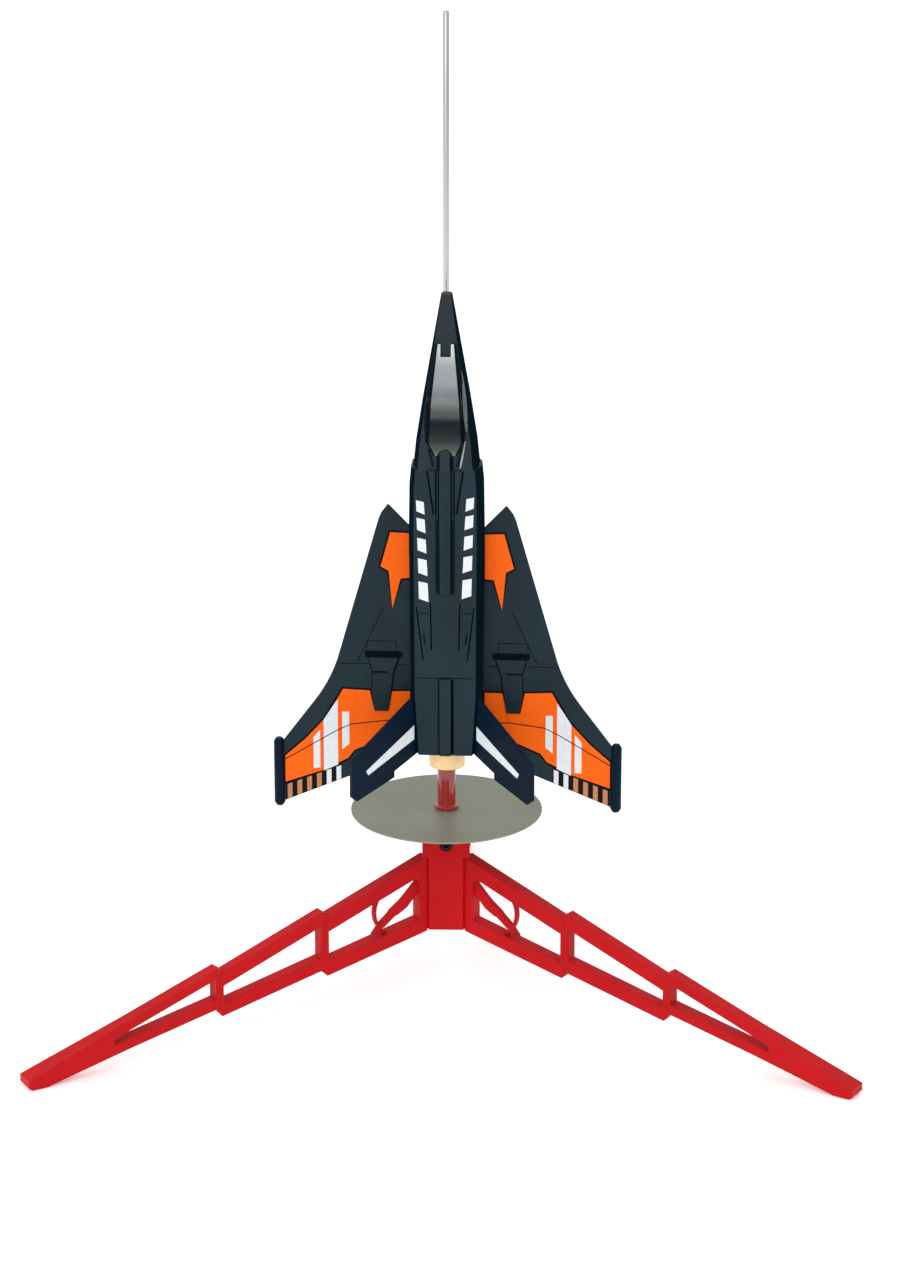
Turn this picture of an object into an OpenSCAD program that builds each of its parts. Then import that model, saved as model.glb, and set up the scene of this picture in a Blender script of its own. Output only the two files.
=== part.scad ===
// Jet-shaped model rocket standing on its tripod launch pad.
// The tripod stands on z = 0 and the launch rod rises along +Z.
// The rocket's back faces -Y, and the origin is under the middle of the part's box.

/* [Launch rod] */
// Diameter of the launch rod
rod_d = 3.2; // [3:0.1:3.4]
// Height of the rod's free end above the floor
rod_top = 553.5; // [500:0.5:600]
// Height where the two halves of the rod meet
rod_joint = 326; // [320:1:340]

/* [Tripod] */
// Distance from the rod to the tip of each leg
leg_reach = 255; // [245:1:265]
// Width of a leg
leg_w = 8; // [7:0.5:9]
// Width of a foot
foot_w = 12; // [11:0.5:13]
// Height of the hub's underside above the floor
hub_bottom = 45; // [44:1:50]
// Height of the pivot that lets the rod lean
pivot_z = 95; // [94:0.5:95]

/* [Blast deflector] */
// Diameter of the steel deflector plate
plate_d = 105; // [95:1:110]
// Height of the plate's underside above the floor
plate_z = 111.5; // [111:0.5:113]
// Thickness of the plate
plate_t = 1; // [0.8:0.1:1.2]
// Outer diameter of the standoff that holds the rocket up
standoff_d = 10; // [8:0.5:11]

/* [Rocket] */
// Height of the fuselage's rear end above the floor
rocket_base = 156; // [154:0.5:158]
// Height where the nose cone meets the fuselage
nose_base = 316; // [314:0.5:317]
// Height of the nose tip
nose_tip = 408.5; // [400:0.5:420]
// Turn of the rocket about the rod, in degrees
rocket_yaw = -2; // [-20:0.5:20]
// Outer diameter of the paper body tube
tube_d = 24.8; // [24.6:0.1:25]
// Width across the fuselage at the wing roots
fuselage_w = 40; // [38:0.5:42]
// Distance from the rocket's centre plane to a wing tip
wing_reach = 89.5; // [85:0.5:95]
// Thickness of the wings
wing_t = 2; // [1.6:0.1:2.4]
// Thickness of the tail fins
fin_t = 3; // [2:0.1:3.2]

/* [Motor] */
// Outer diameter of the motor casing
motor_d = 17.5; // [17.3:0.1:17.6]
// Length of the motor casing
motor_len = 70; // [68:1:70]
// Length of motor that stands out behind the fuselage
motor_overhang = 11.5; // [9:0.5:12]

/* [Hidden] */
$fn = 64;

// Colours
dark = [0.13, 0.19, 0.22];
navy = [0.03, 0.11, 0.18];
orange = [0.95, 0.40, 0.13];
red = [0.75, 0.12, 0.13];
steel = [0.62, 0.60, 0.58];
satin = [0.56, 0.57, 0.51];
silver = [0.72, 0.75, 0.78];
kraft = [0.70, 0.56, 0.40];
cream = [0.95, 0.84, 0.66];
clay = [0.62, 0.60, 0.56];

// Places on the tripod
foot_out = leg_reach * sin(30) + foot_w / 2 * cos(30);
hub_y = -(leg_reach - foot_out) / 2;   // puts the box's middle on the origin
hub_flat = 12.3;                       // from the axis to a flat between two legs
hub_side = 14.1;                       // from the axis to the face that takes a leg
hub_top = 87.5;
yoke_top = 102;
yoke_half = 13;
pocket_half = 6;                       // half the gap that the tilt head sits in
head_half = 5.8;
bolt_r = 2;
bore_gap = 0.05;

// Each leg is three plug-together trusses, whose edges are straight lines:
// [top at the hub axis, its fall, underside at the hub axis, its fall]
leg_lines = [
    [93, 0.385, 47, 0.235],
    [97.4, 0.385, 51.4, 0.237],
    [98.8, 0.365, 55.9, 0.229]
];
top_chord = [9, 8, 5.8];
low_chord = [8.6, 7.8, 5.6];
leg_joint = [hub_side, 77.5, 141.3];
post = 2.4;
hub_wall = 5;
slit_end = [204, 15.1];                // inner end of the outer section's opening
slit_h = 3.4;
tongue_w = 4;                          // of the tongue that plugs into the hub
tongue_l = 3.5;
peg_w = 4.8;                           // of the peg that plugs one section into the next
peg_h = 2.6;
flare_from = 195;                      // the legs widen from here to their feet
flare_to = 250;
ring_r = 15;                           // hoop and slanted spike inside the first section
ring_at = [30.4, 59];
web_t = 3;

// Places on the rocket, measured from its own axis
lug_r = 2.5;
lug_bore_r = 2;
belly = 16.5;
rod_offset = belly + lug_r;
rod_side = 1.5;                        // the lugs sit this far left of the centre line
back = 16;                             // fuselage axis to its flat back
wall = 1.4;
split_y = 3;                           // the wings lie in this plane
tube_r = tube_d / 2;
tube_in_r = tube_r - 0.4;
mount_r = 9.35;
mount_in_r = 9;
motor_r = motor_d / 2;
motor_z = rocket_base - motor_overhang;
grain_r = 6.4;

// Fuselage and nose stations: [height, half width, back, belly]
fuselage_stations = [
    [rocket_base, fuselage_w / 2 - 3, back, belly],
    [rocket_base + 32, fuselage_w / 2 - 0.7, back, belly],
    [rocket_base + 124, fuselage_w / 2, back, belly],
    [nose_base - 10, fuselage_w / 2 - 0.4, back, belly],
    [nose_base, fuselage_w / 2 - 1.4, back - 0.2, belly - 0.2]
];
nose_len = nose_tip - nose_base;
nose_stations = [
    [nose_base, 17.4, 15.8, 15.5],
    [nose_base + 0.15 * nose_len, 16, 15, 14.2],
    [nose_base + 0.4 * nose_len, 12.4, 12.6, 11],
    [nose_base + 0.74 * nose_len, 7, 7.6, 6.4],
    [nose_tip, 2.85, 2.9, 2.6]
];
// Canopy stations: [height, half width of the top face, height of that face]
canopy_stations = [
    [nose_base + 8.2, 6, 16.6],
    [nose_base + 15, 9.2, 17.4],
    [nose_base + 37, 8.1, 16.2],
    [nose_base + 60, 5.7, 11],
    [nose_base + 67, 5, 9.1]
];

// ---------- shared shapes ----------

// Puts its children on the launch rod's axis
module on_hub() {
    translate([0, hub_y, 0]) children();
}

// Puts its children in the rocket's own frame: back towards -Y, rod at +rod_offset
module on_rocket() {
    on_hub() rotate([0, 0, rocket_yaw]) translate([rod_side, -rod_offset, 0]) children();
}

// A tube along Z between two heights
module tube(r_out, r_in, z0, z1) {
    difference() {
        translate([0, 0, z0]) cylinder(r = r_out, h = z1 - z0);
        translate([0, 0, z0 - 1]) cylinder(r = r_in, h = z1 - z0 + 2);
    }
}

// Eight-sided section of the airframe with the given half width, back and belly
function section(w, b, u) = [
    [-0.84 * w, -b], [0.84 * w, -b], [w, -0.35 * b], [w, 0.3 * u],
    [0.75 * w, u], [-0.75 * w, u], [-w, 0.3 * u], [-w, -0.35 * b]
];

slice = 0.01;

// Solid through a list of stations, drawn in by a margin
module loft(stations, margin = 0) {
    hull() for (s = stations)
        translate([0, 0, s == stations[0] ? s[0] : s[0] - slice])
            linear_extrude(slice)
                polygon(section(s[1] - margin, s[2] - margin, s[3] - margin));
}

// ---------- tripod ----------

module pad_hub() {
    side_turn = [90, 210, 330];
    color(red) on_hub() difference() {
        union() {
            translate([0, 0, hub_bottom])
                linear_extrude(hub_top - hub_bottom)
                    intersection_for(a = side_turn)
                        rotate(a)
                            polygon([
                                [-hub_flat, -30], [hub_side, -30],
                                [hub_side, 30], [-hub_flat, 30]
                            ]);
            for (s = [-1, 1])
                translate([0, s > 0 ? hub_flat : -pocket_half, 0])
                    rotate([90, 0, 0])
                        linear_extrude(hub_flat - pocket_half)
                            polygon([
                                [-yoke_half, hub_top - 0.01], [yoke_half, hub_top - 0.01],
                                [yoke_half, yoke_top - 5], [yoke_half - 4.5, yoke_top],
                                [4.5 - yoke_half, yoke_top], [-yoke_half, yoke_top - 5]
                            ]);
        }
        translate([-30, -pocket_half, pivot_z - 10]) cube([60, 2 * pocket_half, 40]);
        translate([0, 0, hub_bottom - 1]) cylinder(r = 6, h = 31);
        translate([0, 20, pivot_z]) rotate([90, 0, 0]) cylinder(r = bolt_r + bore_gap, h = 40);
        translate([0, -hub_flat + 3.5, pivot_z]) rotate([90, 0, 0]) cylinder(r = 3.6, h = 10);
        translate([0, hub_flat + 5, pivot_z]) rotate([90, 0, 0]) cylinder(r = 4.1, h = 8, $fn = 6);
        for (a = side_turn)
            rotate([0, 0, a])
                translate([8, -tongue_w / 2, 52]) cube([10, tongue_w, 28]);
    }
}

module pivot_bolt() {
    color(steel) on_hub() translate([0, 0, pivot_z]) difference() {
        union() {
            translate([0, hub_flat - 0.5, 0]) rotate([90, 0, 0])
                cylinder(r = bolt_r, h = 2 * hub_flat - 4);
            translate([0, -hub_flat + 3.5, 0]) rotate([90, 0, 0]) cylinder(r = 3.5, h = 3);
        }
        translate([0, -hub_flat + 2.3, 0]) rotate([90, 0, 0]) cylinder(r = 1.7, h = 4, $fn = 6);
    }
}

module pivot_nut() {
    color(steel) on_hub() translate([0, hub_flat, pivot_z]) rotate([90, 0, 0]) difference() {
        cylinder(r = 4, h = 3, $fn = 6);
        translate([0, 0, -1]) cylinder(r = bolt_r + bore_gap, h = 5);
    }
}

function leg_top(i, r) = leg_lines[i][0] - leg_lines[i][1] * r;
function leg_low(i, r) = leg_lines[i][2] - leg_lines[i][3] * r;

// Four-sided opening between two distances and the two chords
function leg_hole(i, r0, r1) = [
    [r0, leg_low(i, r0) + low_chord[i]], [r1, leg_low(i, r1) + low_chord[i]],
    [r1, leg_top(i, r1) - top_chord[i]], [r0, leg_top(i, r0) - top_chord[i]]
];

// Far end of section i, whose underside ramps up to the next section's
function leg_end(i, r) = [
    [r - 1.4, leg_low(i, r - 1.4)], [r + 2.2, leg_low(i + 1, r + 2.2)],
    [r, leg_low(i + 1, r)], [r, leg_top(i, r)]
];

// Near end of section i, whose top ramps down over the section before it
function leg_start(i, r) = [
    [r + 1, leg_top(i, r + 1)], [r - 3, leg_top(i - 1, r - 3)],
    [r, leg_top(i - 1, r)], [r, leg_low(i, r)]
];

// Stands an outline of (distance, height) up along a leg
module along_leg(turn, width = leg_w) {
    on_hub() rotate([0, 0, turn]) translate([0, width / 2, 0]) rotate([90, 0, 0])
        linear_extrude(width) children();
}

// Middle height of the peg or its socket at a joint, inside the top chord of the nearer section
function peg_z(i) = leg_top(i - 1, leg_joint[i]) - 4.2;

module leg_peg(turn, i, grow = 0) {
    along_leg(turn, peg_w + 2 * grow) translate([leg_joint[i] - 4 - grow, peg_z(i) - peg_h / 2 - grow])
        square([4 + grow + 0.01, peg_h + 2 * grow]);
}

module leg_inner(turn) {
    r1 = leg_joint[1];
    hole = leg_hole(0, hub_side + hub_wall, r1 - post);
    color(red) difference() {
        union() {
            along_leg(turn) difference() {
                polygon(concat([[hub_side, leg_low(0, hub_side)]], leg_end(0, r1),
                               [[hub_side, leg_top(0, hub_side)]]));
                polygon(hole);
            }
            along_leg(turn, web_t) intersection() {
                polygon(hole);
                union() {
                    // outer half of a hoop
                    difference() {
                        translate(ring_at) circle(ring_r + 0.9);
                        translate(ring_at) circle(ring_r - 0.9);
                        polygon([[0, 0], [ring_at[0] + 4, 0], [ring_at[0] + 11, 90], [0, 90]]);
                    }
                    // slanted spike, widest near the hub, that crosses the hoop
                    polygon([[15, 70.5], [25.5, 58.8], [31, 55.6], [33, 55], [39.5, 49.8],
                             [47.2, 46.6], [42, 52.8], [37, 57], [35.5, 58.8], [29.5, 63.2],
                             [26.5, 66], [15, 78]]);
                }
            }
            along_leg(turn, tongue_w - 0.1)
                translate([hub_side - tongue_l, 52.2]) square([tongue_l + 0.01, 27.6]);
        }
        leg_peg(turn, 1, 0.05);
    }
}

module leg_middle(turn) {
    r0 = leg_joint[1];
    r1 = leg_joint[2];
    color(red) difference() {
        union() {
            along_leg(turn) difference() {
                polygon(concat(leg_end(1, r1), leg_start(1, r0)));
                polygon(leg_hole(1, r0 + post, r1 - post));
            }
            leg_peg(turn, 1);
        }
        leg_peg(turn, 2, 0.05);
    }
}

module leg_outer(turn) {
    r0 = leg_joint[2];
    tip = leg_reach;
    foot = tip - 12;
    color(red) {
        intersection() {
            along_leg(turn, foot_w) difference() {
                polygon(concat(
                    [[foot, leg_low(2, foot)], [foot, 0], [tip - 2, 0], [tip, 1.5],
                     [tip, leg_top(2, tip)]],
                    leg_start(2, r0)
                ));
                polygon([
                    [r0 + post, leg_low(2, r0 + post) + low_chord[2]],
                    slit_end, slit_end + [0, slit_h],
                    [r0 + post, leg_top(2, r0 + post) - top_chord[2]]
                ]);
            }
            // plan of the leg, widening towards the foot
            on_hub() rotate([0, 0, turn]) linear_extrude(100) for (s = [-1, 1])
                scale([1, s]) polygon([
                    [r0 - 10, -0.1], [tip + 1, -0.1], [tip + 1, foot_w / 2], [flare_to, foot_w / 2],
                    [flare_from, leg_w / 2], [r0 - 10, leg_w / 2]
                ]);
        }
        leg_peg(turn, 2);
    }
}

// ---------- tilting head, rod and deflector ----------

module tilt_head() {
    color(red) on_hub() difference() {
        union() {
            translate([0, head_half, pivot_z]) rotate([90, 0, 0])
                cylinder(r = 9, h = 2 * head_half);
            translate([0, 0, pivot_z]) cylinder(r = 5.5, h = plate_z - pivot_z);
            translate([0, 0, plate_z - 2]) cylinder(r = 8, h = 2);
        }
        translate([0, 20, pivot_z]) rotate([90, 0, 0]) cylinder(r = bolt_r + bore_gap, h = 40);
        translate([0, 0, pivot_z + 4]) cylinder(r = rod_d / 2, h = 40);
    }
}

spigot_r = 0.9;
spigot_l = 12;
rod_chamfer = 0.4;

module rod_lower() {
    color(steel) on_hub() difference() {
        union() {
            translate([0, 0, pivot_z + 4])
                cylinder(r = rod_d / 2, h = rod_joint - pivot_z - 4 - rod_chamfer);
            translate([0, 0, rod_joint - rod_chamfer])
                cylinder(r1 = rod_d / 2, r2 = rod_d / 2 - rod_chamfer, h = rod_chamfer);
        }
        translate([0, 0, rod_joint - spigot_l - 0.5])
            cylinder(r = spigot_r + bore_gap, h = spigot_l + 1);
    }
}

module rod_upper() {
    color(steel) on_hub() {
        translate([0, 0, rod_joint + rod_chamfer])
            cylinder(r = rod_d / 2, h = rod_top - rod_joint - 2 * rod_chamfer);
        translate([0, 0, rod_joint])
            cylinder(r1 = rod_d / 2 - rod_chamfer, r2 = rod_d / 2, h = rod_chamfer);
        translate([0, 0, rod_top - rod_chamfer])
            cylinder(r1 = rod_d / 2, r2 = rod_d / 2 - rod_chamfer, h = rod_chamfer);
        translate([0, 0, rod_joint - spigot_l]) cylinder(r = spigot_r, h = spigot_l);
    }
}

slip = 0.3;                            // loose fit of what turns or slides on the rod
standoff_top = rocket_base - 0.1;

module deflector_plate() {
    color(satin) on_hub()
        tube(plate_d / 2, rod_d / 2 + slip, plate_z, plate_z + plate_t);
}

module standoff() {
    z0 = plate_z + plate_t;
    color(red) on_hub() difference() {
        union() {
            translate([0, 0, z0]) cylinder(d = standoff_d, h = standoff_top - z0);
            translate([0, 0, z0]) cylinder(d = standoff_d + 3, h = 2.2);
        }
        translate([0, 0, z0 - 1]) cylinder(r = rod_d / 2 + slip, h = standoff_top);
    }
}

// ---------- airframe ----------

module body_tube() {
    color(dark) on_rocket() tube(tube_r, tube_in_r, rocket_base + 0.6, nose_base);
}

// Smooth bend from point a to point c that leaves and arrives towards b
function bend(a, b, c, steps = 6) = [
    for (i = [0:steps]) let(t = i / steps)
        (1 - t) * (1 - t) * a + 2 * t * (1 - t) * b + t * t * c
];

// Outline of one wing as (distance out, height); side is -1 or 1
module wing_plan(side) {
    root = tube_r + 0.1;
    tip = wing_reach;
    b = rocket_base;
    scale([side, 1]) polygon(concat(
        [[root, b], [20, b], [24, b - 7.5], [tip, b - 35], [tip, b]],
        bend([72, b + 23.5], [62.1, b + 36.8], [58, b + 52.9]),
        [[36.9, b + 127], [35.3, b + 130.8], [31.7, b + 135.5], [19.7, b + 123], [root, b + 123]]
    ));
}

module wing_plate(side) {
    translate([0, split_y + wing_t / 2, 0]) rotate([90, 0, 0])
        linear_extrude(wing_t) wing_plan(side);
}

// Outline of one tail fin as (distance out along the fin, height)
module fin_plate(side) {
    b = rocket_base;
    mirror([side < 0 ? 1 : 0, 0, 0])
        translate([17, -13, 0]) rotate([0, 0, -45]) rotate([90, 0, 0])
            translate([0, 0, -fin_t / 2]) linear_extrude(fin_t) polygon([
                [-2.5, b + 0.5], [0, b - 0.5], [15, b - 6.5], [15, b - 10],
                [41.5, b - 17.3], [44.6, b - 14.5], [44.6, b + 6], [1, b + 32], [-2.5, b + 32]
            ]);
}

// Thin-walled airframe, closed at both ends around the body tube
module fuselage_shell() {
    difference() {
        loft(fuselage_stations);
        intersection() {
            loft(fuselage_stations, wall);
            translate([-40, -40, rocket_base + 2.4]) cube([80, 80, nose_base - rocket_base - 4.8]);
        }
        translate([0, 0, rocket_base - 1]) cylinder(r = tube_r + 0.02, h = 200);
        for (s = [-1, 1]) {
            wing_plate(s);
            fin_plate(s);
        }
    }
}

spine_r = 4.6;
spine_y = 14.4;
spine_end = rocket_base + 92.5;
bed_end = nose_base - 27;
spine_top = nose_base + 12.5;

module fuselage_upper() {
    color(dark) on_rocket() {
        difference() {
            fuselage_shell();
            translate([-40, split_y, 100]) cube([80, 80, 250]);
        }
        // spine, its flared bed and the tail rib stand on the flat back
        difference() {
            union() {
                translate([0, -spine_y, spine_end]) cylinder(r = spine_r, h = nose_base - spine_end);
                translate([0, -back + 0.2, 0]) rotate([90, 0, 0]) linear_extrude(1.1)
                    polygon([[-4.7, bed_end], [4.7, bed_end], [9, nose_base], [-9, nose_base]]);
                translate([-3, -back - 1.2, rocket_base]) cube([6, 1.4, 43.5]);
            }
            loft(fuselage_stations);
        }
    }
}

module fuselage_lower() {
    color(dark) on_rocket() difference() {
        fuselage_shell();
        translate([-40, split_y - 80, 100]) cube([80, 80, 250]);
    }
}

module wing(side) {
    color(dark) on_rocket() wing_plate(side);
}

rail_r = 3;
rail_z = rocket_base - 37.5;
rail_l = 39;

module wing_rail(side) {
    color(dark) on_rocket() difference() {
        translate([side * (wing_reach + rail_r - 0.8), split_y, rail_z]) {
            translate([0, 0, 2]) cylinder(r = rail_r, h = rail_l - 4);
            cylinder(r1 = rail_r - 1.2, r2 = rail_r, h = 2);
            translate([0, 0, rail_l - 2]) cylinder(r1 = rail_r, r2 = rail_r - 1.2, h = 2);
        }
        wing_plate(side);
    }
}

module tail_fin(side) {
    color(navy) on_rocket() fin_plate(side);
}

module launch_lug(z0, length) {
    color(dark) on_rocket() translate([-rod_side, rod_offset, 0])
        tube(lug_r, lug_bore_r, z0, z0 + length);
}

// ---------- motor mount and recovery gear ----------

module motor_tube() {
    color(kraft) on_rocket() tube(mount_r, mount_in_r, motor_z + 6, motor_z + 76.5);
}

module centering_ring(z0) {
    color(kraft) on_rocket() tube(tube_in_r, mount_r, z0, z0 + 4);
}

module thrust_ring() {
    color(kraft) on_rocket() tube(mount_in_r, 7, motor_z + motor_len, motor_z + motor_len + 4);
}

anchor_in_r = tube_in_r - 0.7;
shoulder_l = 12;
pack_z = rocket_base + 82;             // underside of the folded parachute
pack_l = 42;
pack_r = 9.6;
lines_r = 10.8;

module recovery_wadding() {
    color("white") on_rocket() translate([0, 0, motor_z + 77.5]) cylinder(r = 11.4, h = 14);
}

module parachute() {
    color("gold") on_rocket() translate([0, 0, pack_z]) cylinder(r = pack_r, h = pack_l);
}

module shroud_lines() {
    color("white") on_rocket() tube(lines_r, pack_r + 0.05, pack_z + 12, pack_z + 26);
}

module shock_cord_anchor() {
    color(kraft) on_rocket() intersection() {
        tube(tube_in_r, anchor_in_r, pack_z + pack_l - 2, pack_z + pack_l + 14);
        translate([-5, 0, pack_z]) cube([10, 20, 80]);
    }
}

// Pleated elastic cord between the parachute and the nose plug's eye
cord_z = pack_z + pack_l + 0.6;
eye_z = nose_base - shoulder_l - 3.2;  // centre of the eye

module shock_cord() {
    color("white") on_rocket() translate([-9, -2.5, cord_z]) cube([18, 5, eye_z - 4.2 - cord_z]);
}

// ---------- nose ----------

nose_wall = 1.4;

module nose_cavity(z0, z1) {
    intersection() {
        loft(nose_stations, nose_wall);
        translate([-40, -40, z0]) cube([80, 80, z1 - z0]);
    }
}

cavity_top = nose_tip - 14;

module nose_cone() {
    color(dark) on_rocket() {
        difference() {
            loft(nose_stations);
            nose_cavity(nose_base - 1, cavity_top);
        }
        // the spine runs on over the nose and ends in a round arch
        difference() {
            union() {
                translate([0, -spine_y, nose_base]) cylinder(r = spine_r, h = spine_top - spine_r - nose_base);
                translate([0, -spine_y, spine_top - spine_r]) sphere(r = spine_r);
            }
            loft(nose_stations);
        }
    }
}

module nose_weight() {
    color(clay) on_rocket() nose_cavity(cavity_top - 12, cavity_top);
}

module nose_plug() {
    shoulder_r = tube_in_r - 0.15;
    z0 = nose_base - shoulder_l;
    color(dark) on_rocket() {
        difference() {
            nose_cavity(nose_base, nose_base + 2.4);
            cylinder(r = 8, h = 2 * nose_base);
        }
        difference() {
            translate([0, 0, z0]) cylinder(r = shoulder_r, h = shoulder_l);
            translate([0, 0, z0 + 1.4]) cylinder(r = shoulder_r - 1.2, h = shoulder_l);
        }
        // eye that the shock cord is tied to
        difference() {
            translate([-1.2, 0, 0]) rotate([0, 90, 0]) translate([-eye_z, 0, 0])
                cylinder(r = 4, h = 2.4);
            translate([-5, 0, 0]) rotate([0, 90, 0]) translate([-eye_z, 0, 0])
                cylinder(r = 1.8, h = 10);
        }
    }
}

module canopy() {
    color(silver) on_rocket() difference() {
        hull() for (s = canopy_stations)
            translate([0, 0, s[0]]) linear_extrude(slice)
                polygon([
                    [-s[1], -s[2]], [s[1], -s[2]],
                    [s[1] + 1.2, 5 - s[2]], [-s[1] - 1.2, 5 - s[2]]
                ]);
        loft(nose_stations);
        // notch between the two front prongs of the frame
        translate([-2.75, -30, nose_base + 60.5]) cube([5.5, 60, 20]);
        // the spine's arch
        translate([0, -spine_y, nose_base]) cylinder(r = spine_r, h = spine_top - spine_r - nose_base);
        translate([0, -spine_y, spine_top - spine_r]) sphere(r = spine_r);
    }
}

// ---------- motor ----------

module motor_casing() {
    color(kraft) on_rocket() tube(motor_r, grain_r, motor_z, motor_z + motor_len);
}

nozzle_l = 9.5;
grain_l = 34;
delay_l = 10;
charge_l = 6;
grain_z = motor_z + nozzle_l;

module motor_nozzle() {
    color(clay) on_rocket() difference() {
        translate([0, 0, motor_z + 0.8]) cylinder(r = grain_r, h = nozzle_l - 0.8);
        translate([0, 0, motor_z]) cylinder(r1 = 4.5, r2 = 1.4, h = 5.5);
        translate([0, 0, motor_z + 5]) cylinder(r = 1.4, h = 6);
    }
}

module propellant() {
    color("dimgray") on_rocket() difference() {
        translate([0, 0, grain_z]) cylinder(r = grain_r, h = grain_l);
        translate([0, 0, grain_z - 1]) cylinder(r = 1.4, h = 9);
    }
}

// A plain disc of the grain stack
module grain_disc(z0, h) {
    on_rocket() translate([0, 0, z0]) cylinder(r = grain_r, h = h);
}

module delay_charge() {
    color("gray") grain_disc(grain_z + grain_l, delay_l);
}

module ejection_charge() {
    color([0.25, 0.25, 0.25]) grain_disc(grain_z + grain_l + delay_l, charge_l);
}

module clay_cap() {
    color(clay) grain_disc(grain_z + grain_l + delay_l + charge_l, 2);
}

module retaining_tape() {
    color(cream) on_rocket() difference() {
        translate([0, 0, motor_z + 0.7]) cylinder(r = 9.9, h = 10.4);
        translate([0, 0, motor_z]) cylinder(r = motor_r, h = 20);
        translate([0, 0, motor_z + 5.9]) cylinder(r = mount_r + bore_gap, h = 20);
    }
}

pad_hub();
pivot_bolt();
pivot_nut();
leg_inner(90);  // leg_rear_inner
leg_middle(90);  // leg_rear_middle
leg_outer(90);  // leg_rear_outer
leg_inner(210);  // leg_left_inner
leg_middle(210);  // leg_left_middle
leg_outer(210);  // leg_left_outer
leg_inner(330);  // leg_right_inner
leg_middle(330);  // leg_right_middle
leg_outer(330);  // leg_right_outer
tilt_head();
rod_lower();
rod_upper();
deflector_plate();
standoff();
body_tube();
fuselage_upper();
fuselage_lower();
wing(-1);  // wing_left
wing(1);  // wing_right
wing_rail(-1);  // wing_rail_left
wing_rail(1);  // wing_rail_right
tail_fin(-1);  // tail_fin_left
tail_fin(1);  // tail_fin_right
launch_lug(nose_base - 31, 25);  // launch_lug_front
launch_lug(rocket_base, 25);  // launch_lug_rear
motor_tube();
centering_ring(rocket_base + 56);  // centering_ring_front
centering_ring(rocket_base + 5);  // centering_ring_rear
thrust_ring();
shock_cord_anchor();
shock_cord();
parachute();
shroud_lines();
recovery_wadding();
nose_cone();
nose_plug();
nose_weight();
canopy();
motor_casing();
motor_nozzle();
propellant();
delay_charge();
ejection_charge();
clay_cap();
retaining_tape();
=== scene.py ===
"""Looks for the model rocket on its launch pad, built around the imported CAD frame.

Every length below is in millimetres until it is put into a mesh, and every place is worked out
from the boxes of the CAD nodes. Pieces of the rocket are made in the rocket's own frame: its axis
is x = y = 0, its back faces -y, and heights are above the floor.
"""

import math
import random

import bmesh
import bpy
from mathutils import Matrix, Vector


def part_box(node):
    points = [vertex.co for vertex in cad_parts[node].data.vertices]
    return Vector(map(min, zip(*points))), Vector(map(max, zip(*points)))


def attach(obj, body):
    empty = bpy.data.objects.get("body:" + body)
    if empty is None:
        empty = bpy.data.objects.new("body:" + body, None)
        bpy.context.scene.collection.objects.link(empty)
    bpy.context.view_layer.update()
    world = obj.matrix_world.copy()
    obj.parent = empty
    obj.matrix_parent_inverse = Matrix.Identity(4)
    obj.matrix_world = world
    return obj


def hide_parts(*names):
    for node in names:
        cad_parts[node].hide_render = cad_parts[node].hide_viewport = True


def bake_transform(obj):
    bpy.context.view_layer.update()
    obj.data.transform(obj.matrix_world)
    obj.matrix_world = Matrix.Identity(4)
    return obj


MM = 0.001
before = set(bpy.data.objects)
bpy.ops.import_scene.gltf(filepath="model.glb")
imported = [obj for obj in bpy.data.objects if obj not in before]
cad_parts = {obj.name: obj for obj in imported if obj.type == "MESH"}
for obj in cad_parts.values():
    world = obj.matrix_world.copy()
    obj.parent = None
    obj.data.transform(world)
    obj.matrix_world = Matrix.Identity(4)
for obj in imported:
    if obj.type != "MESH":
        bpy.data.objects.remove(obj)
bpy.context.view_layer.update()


# ---------- places taken from the frame ----------

def low(node):
    """Lowest point of a CAD node, in mm."""
    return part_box(node)[0].z / MM


def high(node):
    """Highest point of a CAD node, in mm."""
    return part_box(node)[1].z / MM


def middle(node):
    """Middle of a CAD node's box, in mm."""
    a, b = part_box(node)
    return (a + b) / 2 / MM


HUB = middle("rod_upper")
TUBE = middle("body_tube")
SPAN = middle("wing_rail_right") - middle("wing_rail_left")
YAW = math.atan2(SPAN.y, SPAN.x)
NOSE_BASE = high("fuselage_upper")
TIP = high("nose_cone")
SPINE_REACH = 11                # the spine and its bed are narrower than this
SPINE_RISE = 13                 # the spine ends this far above the nose's base
PLATE_TOP = high("deflector_plate")

ROCKET_PLACE = (
    Matrix.Translation((TUBE.x * MM, TUBE.y * MM, 0))
    @ Matrix.Rotation(YAW, 4, "Z")
    @ Matrix.Scale(MM, 4)
)


# ---------- camera, light and floor ----------

CAMERA_DISTANCE = 2400          # from the middle of the deflector plate
CAMERA_RISE = math.radians(21)  # of the line from the plate to the camera
CAMERA_PITCH = math.radians(18.8)
CAMERA_TURN = math.radians(1.5)
CAMERA_SIDE = 4.9
LENS = 122.7
FILM_GATE = 36

DOME_SIDES = (1.10, 0.90)       # strength of the dome on the left and on the right
DOME_RISE = (0.70, 1.16)        # and its factors at the horizon and overhead
KEY_PLACE = (-0.55, -1.9, 1.45) # the key light, in metres
KEY_TARGET = (0, -0.06, 0.2)
KEY_SIZE = 0.8
KEY_WATTS = 9
FLOOR_SIZE = 60                 # in metres
FLOOR_DROP = 0.0004
FLOOR_GLOW = 0.25


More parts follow.
